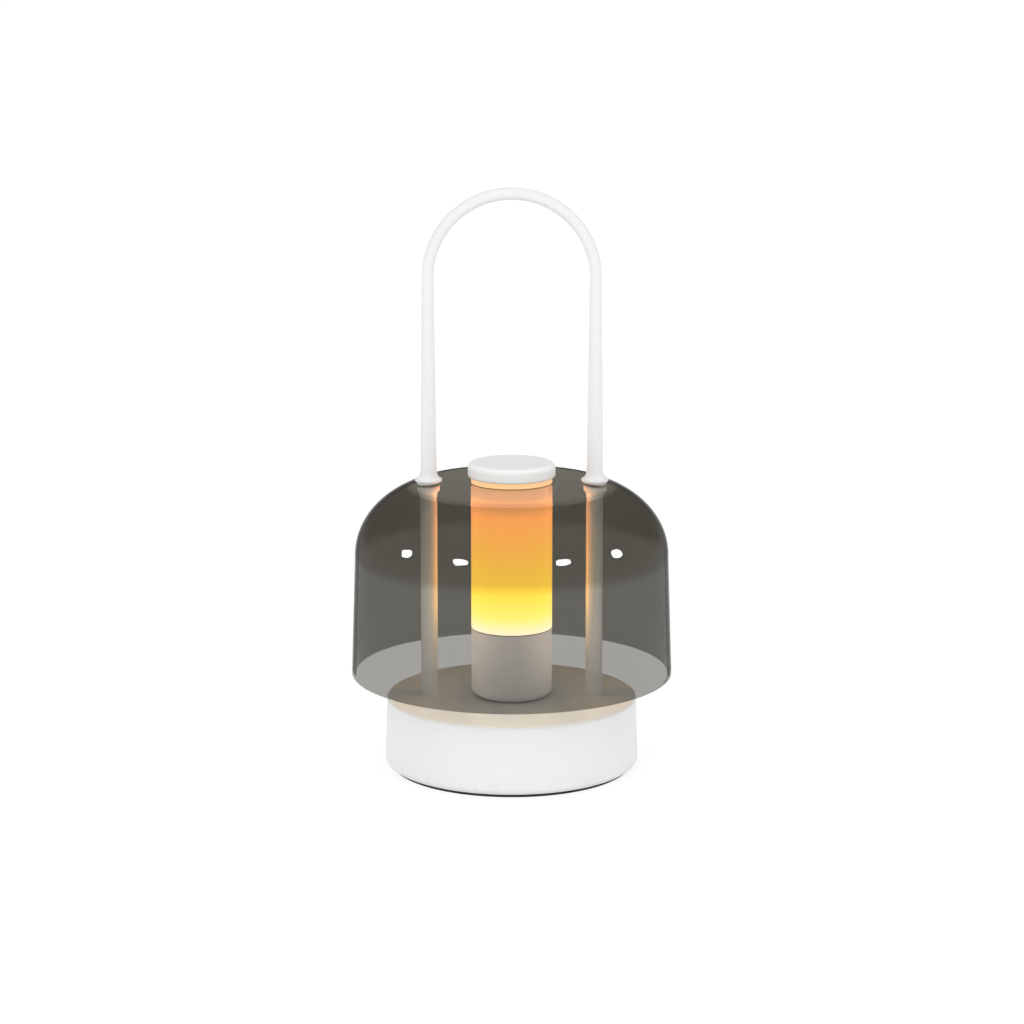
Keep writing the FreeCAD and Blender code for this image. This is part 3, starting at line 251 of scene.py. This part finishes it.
def powder_coat(name="white_powder_coat"):
    """Satin white paint on metal: a fine orange peel and a trace of handling low down."""
    finish = Finish(name)
    peel = finish.noise(900.0, 2.0)
    cloud = finish.noise(14.0, 3.0)
    foot = finish.spread(finish.height(), 0.002, 0.012, 1.0, 0.0)
    scuff = foot * finish.spread(finish.noise(160.0, 4.0), 0.5, 0.7)
    clean = finish.blend(cloud, (0.885, 0.895, 0.9), (0.85, 0.86, 0.865))
    return finish.takes(
        {
            "Base Color": finish.blend(scuff * 0.35, clean, (0.66, 0.65, 0.63)),
            "Roughness": 0.34 + cloud * 0.1 + scuff * 0.1,
            "Normal": finish.bump(peel, 0.00004, 0.5),
            "Coat Weight": 0.12,
            "Coat Roughness": 0.12,
        }
    )


def white_plastic():
    """Fine sparked plastic for the cap, the button, the door and the reflector."""
    finish = Finish("white_plastic")
    spark = finish.noise(2400.0, 2.0)
    cloud = finish.noise(22.0, 2.0)
    return finish.takes(
        {
            "Base Color": finish.blend(cloud, (0.93, 0.94, 0.925), (0.89, 0.9, 0.885)),
            "Roughness": 0.42 + spark * 0.12,
            "Normal": finish.bump(spark, 0.00002, 0.4),
        }
    )


def outer_skin(finish):
    """1 on the bell's outer face and 0 on its inner one, from the middle line of its wall."""
    x, y, z = (
        finish.node("ShaderNodeSeparateXYZ", inputs={"Vector": finish.place()}, output=axis)
        for axis in "XYZ"
    )
    out = (x * x + y * y) ** 0.5
    half = BELL_WALL / 2
    skirt = out - (RIM_RADIUS - half) + (z - RIM_HEIGHT) * SKIRT_TAPER
    across = (out - ROUND_CENTRE) / (SHOULDER_RADIUS - ROUND_CENTRE - half)
    along = (z - SHOULDER_HEIGHT) / (ROUND_RISE - half)
    shoulder = across * across + along * along - 1.0
    crown = z - (CREASE_HEIGHT - half) - (CREASE_RADIUS**2 - out * out) / (2 * CROWN_RADIUS)
    on_skirt = finish.maths("LESS_THAN", z, SHOULDER_HEIGHT)
    on_crown = finish.maths("LESS_THAN", out, CREASE_RADIUS)
    outside = {
        "skirt": finish.maths("GREATER_THAN", skirt, 0.0),
        "shoulder": finish.maths("GREATER_THAN", shoulder, 0.0),
        "crown": finish.maths("GREATER_THAN", crown, 0.0),
    }
    above = outside["crown"] * on_crown + outside["shoulder"] * (1 - on_crown)
    return outside["skirt"] * on_skirt + above * (1 - on_skirt)


def smoked_glass():
    """Smoke grey flashed glass, clear inside; its skin is darker on the shoulder as painted shade,
    standing for the dark room mirrored in the bend and the longer way through it, and pale on the crown.

    The stops say what one wall lets through, with the shoulder's dip in tone being painted shade: skirt,
    shoulder, the strip below the crease, crown.
    """
    finish = Finish("smoked_glass")
    streak = finish.noise(9.0, 2.0, finish.stretched((1.0, 1.0, 0.25)))
    wall_smoke_and_painted_shade = finish.ramp(
        finish.spread(finish.height(), RIM_HEIGHT, RIM_HEIGHT + GLASS_SPAN),
        [
            (0.0, (0.352, 0.346, 0.328)),
            (0.555, (0.352, 0.344, 0.322)),
            # painted shade: the shoulder stops are darker than the skirt's smoke, for the dark room
            # mirrored in the bend
            (0.6, (0.252, 0.243, 0.214)),
            (0.75, (0.245, 0.236, 0.208)),
            (0.911, (0.262, 0.25, 0.222)),
            (0.914, (0.42, 0.405, 0.37)),
            (0.9215, (0.46, 0.445, 0.41)),
            (0.9235, (0.57, 0.556, 0.53)),
        ],
    )
    skin = finish.node("ShaderNodeVectorMath", {"operation": "MULTIPLY"}, {0: wall_smoke_and_painted_shade, 1: wall_smoke_and_painted_shade})
    smoke_and_painted_shade = finish.blend(streak * 0.06, skin, (0.1, 0.1, 0.1))
    polish = finish.spread(
        finish.height(), CREASE_HEIGHT - DULLING_RUN, CREASE_HEIGHT, WALL_POLISH, CROWN_POLISH
    )
    return finish.takes(
        {
            "Base Color": finish.blend(outer_skin(finish), (0.98, 0.98, 0.975), smoke_and_painted_shade),
            "Roughness": 0.0,
            "Transmission Weight": 1.0,
            "IOR": 1.02,
            "Coat Weight": polish,
            "Coat Roughness": 0.02,
        }
    )


def lit_diffuser():
    """Frosted tube with the lamp below it: pale yellow at its foot, amber above, dim under the cap."""
    finish = Finish("lit_diffuser")
    frost = finish.noise(700.0, 2.0)
    glow = finish.ramp(
        finish.spread(finish.height(), TUBE_LOW, TUBE_HIGH),
        [
            (0.0, (0.9, 0.76, 0.55)),
            (0.1, (0.9, 0.74, 0.16)),
            (0.25, (0.9, 0.62, 0.05)),
            (0.75, (1.0, 0.38, 0.11)),
            (0.87, (0.36, 0.17, 0.1)),
            (1.0, (0.18, 0.12, 0.06)),
        ],
    )
    return finish.takes(
        {
            "Base Color": (0.35, 0.22, 0.08),
            "Roughness": 0.3 + frost * 0.1,
            "Emission Color": glow,
            "Emission Strength": 3.5,
            "Coat Weight": 0.2,
            "Coat Roughness": 0.08,
            "Normal": finish.bump(frost, 0.00002, 0.3),
        }
    )


def foot_rubber():
    """Black cell rubber, a little dusty."""
    finish = Finish("foot_rubber")
    cell = finish.noise(1500.0, 3.0)
    dust = finish.spread(finish.noise(90.0, 4.0), 0.45, 0.75)
    return finish.takes(
        {
            "Base Color": finish.blend(dust * 0.5, (0.022, 0.022, 0.023), (0.06, 0.058, 0.055)),
            "Roughness": 0.75 + cell * 0.2,
            "Normal": finish.bump(cell, 0.00008, 0.7),
        }
    )


def silicone(name, light, dark):
    """Gasket rubber with a dull skin."""
    finish = Finish(name)
    skin = finish.noise(1200.0, 2.0)
    return finish.takes(
        {
            "Base Color": finish.blend(skin, light, dark),
            "Roughness": 0.5 + skin * 0.15,
            "Normal": finish.bump(skin, 0.00003, 0.4),
        }
    )


def plated(name, light, dark, scale=(1.0, 1.0, 1.0), rough=0.26):
    """Plated or machined metal, with tool lines drawn out along the axes."""
    finish = Finish(name)
    lines = finish.noise(1400.0, 3.0, finish.stretched(scale))
    cloud = finish.noise(120.0, 3.0)
    return finish.takes(
        {
            "Base Color": finish.blend(cloud, light, dark),
            "Metallic": 1.0,
            "Roughness": rough + lines * 0.16,
            "Normal": finish.bump(lines, 0.00002, 0.5),
        }
    )


def rough_iron():
    """Sand-cast iron under a thin dark wash."""
    finish = Finish("ballast_iron")
    sand = finish.noise(700.0, 5.0)
    rust = finish.spread(finish.noise(60.0, 4.0), 0.58, 0.72)
    return finish.takes(
        {
            "Base Color": finish.blend(rust * 0.5, (0.085, 0.085, 0.09), (0.17, 0.1, 0.06)),
            "Metallic": 0.35,
            "Roughness": 0.62 + sand * 0.25,
            "Normal": finish.bump(sand, 0.0002, 0.8),
        }
    )


def moulded(name, light, dark, rough=0.4):
    """Moulded or lacquered plastic of one colour, with a fine grain."""
    finish = Finish(name)
    grain = finish.noise(1800.0, 2.0)
    cloud = finish.noise(80.0, 3.0)
    return finish.takes(
        {
            "Base Color": finish.blend(cloud, light, dark),
            "Roughness": rough + grain * 0.15,
            "Normal": finish.bump(grain, 0.00003, 0.4),
        }
    )


def phosphor():
    """The chip's yellow coat, lit."""
    finish = Finish("led_phosphor")
    grain = finish.noise(3000.0, 2.0)
    coat = finish.blend(grain, (1.0, 0.78, 0.22), (0.9, 0.66, 0.16))
    return finish.takes(
        {
            "Base Color": coat,
            "Emission Color": coat,
            "Emission Strength": 3.0,
            "Roughness": 0.6 + grain * 0.2,
        }
    )


def coloured_wire():
    """Red and black leads, told apart by which side of the lamp they run on."""
    finish = Finish("wire_insulation")
    across = finish.node("ShaderNodeSeparateXYZ", inputs={"Vector": finish.place()}, output="X")
    side = finish.spread(across, -0.0002, 0.0002)
    skin = finish.noise(1500.0, 2.0)
    return finish.takes(
        {
            "Base Color": finish.blend(side, (0.02, 0.02, 0.022), (0.5, 0.03, 0.025)),
            "Roughness": 0.35 + skin * 0.15,
            "Normal": finish.bump(skin, 0.00002, 0.4),
        }
    )


def dress(finishes):
    """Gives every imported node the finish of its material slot."""
    for part in frame["record"]["subparts"]:
        node = frame["nodes"][part["node"]]
        node.data.materials.clear()
        node.data.materials.append(finishes[part["material_slot"]])


# ---------------------------------------------------------------- the studio


def studio_world():
    """White all round for what looks at it, and a plain level for what it lights."""
    world = bpy.data.worlds.new("studio")
    world.use_nodes = True
    bpy.context.scene.world = world
    tree = world.node_tree
    backdrop = tree.nodes["Background"]
    path = tree.nodes.new("ShaderNodeLightPath")
    direction = tree.nodes.new("ShaderNodeTexCoord")
    split = tree.nodes.new("ShaderNodeSeparateXYZ")
    tree.links.new(direction.outputs["Generated"], split.inputs[0])

    def maths(operation, first, second):
        made = tree.nodes.new("ShaderNodeMath")
        made.operation = operation
        for socket, value in zip(made.inputs, (first, second)):
            if isinstance(value, float):
                socket.default_value = value
            else:
                tree.links.new(value, socket)
        return made.outputs[0]

    ceiling = tree.nodes.new("ShaderNodeMapRange")
    tree.links.new(split.outputs["Z"], ceiling.inputs["Value"])
    for name, value in (("From Min", CEILING_STARTS), ("From Max", CEILING_FULL)):
        ceiling.inputs[name].default_value = value
    for name, value in (("To Min", 1.0), ("To Max", CEILING_LEVEL)):
        ceiling.inputs[name].default_value = value
    straight = maths("MAXIMUM", path.outputs["Is Camera Ray"], path.outputs["Is Transmission Ray"])
    mirrored = maths("MULTIPLY", path.outputs["Is Glossy Ray"], ceiling.outputs[0])
    seen = maths("MAXIMUM", straight, mirrored)
    either = maths("MAXIMUM", straight, path.outputs["Is Glossy Ray"])
    lighting = maths("MULTIPLY", maths("SUBTRACT", 1.0, either), WORLD_LEVEL)
    tree.links.new(maths("ADD", seen, lighting), backdrop.inputs["Strength"])
    backdrop.inputs["Color"].default_value = (*WHITE, 1.0)


def studio_floor():
    """A wide pale floor, white to the eye but for the shadow that it keeps."""
    bpy.ops.mesh.primitive_circle_add(vertices=FLOOR_SIDES, radius=FLOOR_RADIUS, fill_type="NGON")
    floor = bpy.context.active_object
    floor.name = "studio_floor"
    finish = Finish("studio_floor")
    tree = finish.tree
    path = tree.nodes.new("ShaderNodeLightPath")
    glow = finish.node("ShaderNodeEmission", inputs={"Color": WHITE, "Strength": FLOOR_GLOW})
    paper = finish.node("ShaderNodeBsdfDiffuse", inputs={"Color": (FLOOR_SHADE,) * 3})
    plain = finish.node("ShaderNodeBsdfDiffuse", inputs={"Color": (FLOOR_PAPER,) * 3})
    shown = finish.node("ShaderNodeAddShader", inputs={0: glow, 1: paper})
    camera = Value(finish, path.outputs["Is Camera Ray"])
    glossy = Value(finish, path.outputs["Is Glossy Ray"])
    through = Value(finish, path.outputs["Is Transmission Ray"])
    looked_at = camera.above(glossy).above(through)
    mixed = finish.node("ShaderNodeMixShader", inputs={0: looked_at, 1: plain, 2: shown})
    output = tree.nodes["Material Output"]
    tree.links.new(mixed.socket, output.inputs["Surface"])
    tree.nodes.remove(finish.shader)
    floor.data.materials.append(finish.material)


def lamp_at(name, azimuth, elevation, distance, size, power, aim=PANEL_AIM, shape="RECTANGLE"):
    """A panel of light at a distance from its aim, turned to face it."""
    flat = distance * cos(radians(elevation))
    data = bpy.data.lights.new(name, "AREA")
    data.shape = shape
    data.size, data.size_y = size
    data.energy = power
    panel = bpy.data.objects.new(name, data)
    bpy.context.scene.collection.objects.link(panel)
    panel.location = (
        aim[0] + flat * sin(radians(azimuth)),
        aim[1] - flat * cos(radians(azimuth)),
        aim[2] + distance * sin(radians(elevation)),
    )
    panel.rotation_euler = (radians(90 - elevation), 0.0, radians(azimuth))
    panel.visible_camera = False
    return panel


def hide_from_glass(panel):
    """Keeps a lamp out of what shows in the glass and through it."""
    panel.visible_glossy = False
    panel.visible_transmission = False


def soft_panels():
    """Two large panels in front give the white pieces their shape, without showing in the glass."""
    for name, azimuth, elevation, power in SOFT_PANELS:
        hide_from_glass(lamp_at(name, azimuth, elevation, PANEL_DISTANCE, PANEL_SIZE, power))


def receivers(name, nodes):
    """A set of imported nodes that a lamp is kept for."""
    lit = bpy.data.collections.new(name)
    for node in nodes:
        lit.objects.link(frame["nodes"][node])
    return lit


def shoulder_spot(turn, height):
    """A place on the bell's round shoulder, at a turn from the front, and the way it faces."""
    reach = SHOULDER_RADIUS - ROUND_CENTRE
    lift = (height - SHOULDER_HEIGHT) / ROUND_RISE
    share = (1 - lift**2) ** 0.5
    front = Vector((sin(radians(turn)), -cos(radians(turn)), 0.0))
    up = Vector((0.0, 0.0, 1.0))
    facing = front * share / reach + up * lift / ROUND_RISE
    return front * (ROUND_CENTRE + reach * share) + up * height, facing.normalized()


def glints():
    """Four small bright panels, each placed where the shoulder mirrors it to the camera."""
    lit = receivers("glass_only", ["glass_shade"])
    for name, turn, height, size in GLINTS:
        spot, facing = shoulder_spot(turn, height)
        mirrored = -(CAMERA_PLACE - spot).normalized().reflect(facing)
        azimuth = degrees(atan2(mirrored.x, -mirrored.y))
        elevation = degrees(asin(mirrored.z))
        power = GLINT_RADIANCE * pi * pi / 4 * size[0] * size[1]
        panel = lamp_at(name, azimuth, elevation, GLINT_DISTANCE, size, power, spot, "ELLIPSE")
        panel.visible_diffuse = False
        panel.visible_transmission = False
        panel.light_linking.receiver_collection = lit


def inner_light():
    """Small lamps in the bell, for its uprights, its base and its tube's glow, kept out of the glass."""
    upright = receivers("uprights", ["lamp_holder", "support_post_left", "support_post_right"])
    for turn in BELL_TURNS:
        name = f"bell_light_{turn:.0f}"
        panel = lamp_at(name, turn, 0.0, BELL_REACH, BELL_SIZE, BELL_POWER, BELL_MIDDLE)
        panel.data.spread = BELL_SPREAD
        panel.data.color = BELL_COLOUR
        panel.light_linking.receiver_collection = upright
        hide_from_glass(panel)
    base_light = lamp_at("base_light", 0.0, 0.0, 0.0, BASE_SIZE, BASE_POWER, BELL_MIDDLE, "DISK")
    base_light.rotation_euler = (0.0, 0.0, 0.0)
    base_light.data.color = BASE_COLOUR
    base_light.light_linking.receiver_collection = receivers("base_only", ["base_shell"])
    hide_from_glass(base_light)
    for turn in TUBE_GLOW_TURNS:
        name = f"tube_glow_{turn:.0f}"
        panel = lamp_at(name, turn, 0.0, TUBE_GLOW_REACH, TUBE_GLOW_SIZE, TUBE_GLOW_POWER, TUBE_MIDDLE)
        panel.rotation_euler = (radians(90), 0.0, radians(turn + 180))
        panel.data.color = TUBE_GLOW_COLOUR
        hide_from_glass(panel)


def photo_camera():
    """The camera stands where the picture was taken, looking a little down."""
    data = bpy.data.cameras.new("camera")
    data.sensor_width = CAMERA_SENSOR
    data.lens = CAMERA_LENS
    data.clip_end = CAMERA_REACH
    camera = bpy.data.objects.new("camera", data)
    bpy.context.scene.collection.objects.link(camera)
    camera.location = CAMERA_PLACE
    camera.rotation_euler = (pi / 2 - CAMERA_PITCH, 0.0, 0.0)
    bpy.context.scene.camera = camera


FINISHES = {
    "white_paint": powder_coat(),
    "white_plastic": white_plastic(),
    "smoked_glass": smoked_glass(),
    "lit_diffuser": lit_diffuser(),
    "foot_rubber": foot_rubber(),
    "grey_silicone": silicone("grey_silicone", (0.19, 0.16, 0.14), (0.15, 0.125, 0.11)),
    "white_silicone": silicone("white_silicone", (0.78, 0.77, 0.75), (0.72, 0.71, 0.69)),
    "steel_plate": plated("steel_plate", (0.56, 0.57, 0.58), (0.46, 0.47, 0.48), (0.05, 1.0, 1.0)),
    "screw_steel": plated("screw_steel", (0.64, 0.64, 0.65), (0.5, 0.5, 0.52)),
    "ballast_iron": rough_iron(),
    "sink_aluminium": plated("sink_aluminium", (0.75, 0.76, 0.77), (0.66, 0.67, 0.68), (1, 1, 0.05)),
    "nickel": plated("nickel", (0.72, 0.69, 0.64), (0.6, 0.57, 0.52), rough=0.16),
    "black_plastic": moulded("black_plastic", (0.035, 0.035, 0.038), (0.022, 0.022, 0.024)),
    "cell_wrap": moulded("cell_wrap", (0.04, 0.2, 0.42), (0.03, 0.15, 0.34), 0.2),
    "green_board": moulded("green_board", (0.02, 0.19, 0.075), (0.012, 0.13, 0.05), 0.25),
    "white_board": moulded("white_board", (0.8, 0.8, 0.76), (0.72, 0.72, 0.68), 0.3),
    "led_phosphor": phosphor(),
    "wire_red": coloured_wire(),
}

dress(FINISHES)
studio_world()
studio_floor()
soft_panels()
glints()
inner_light()
photo_camera()
bpy.context.scene.view_settings.view_transform = "Standard"
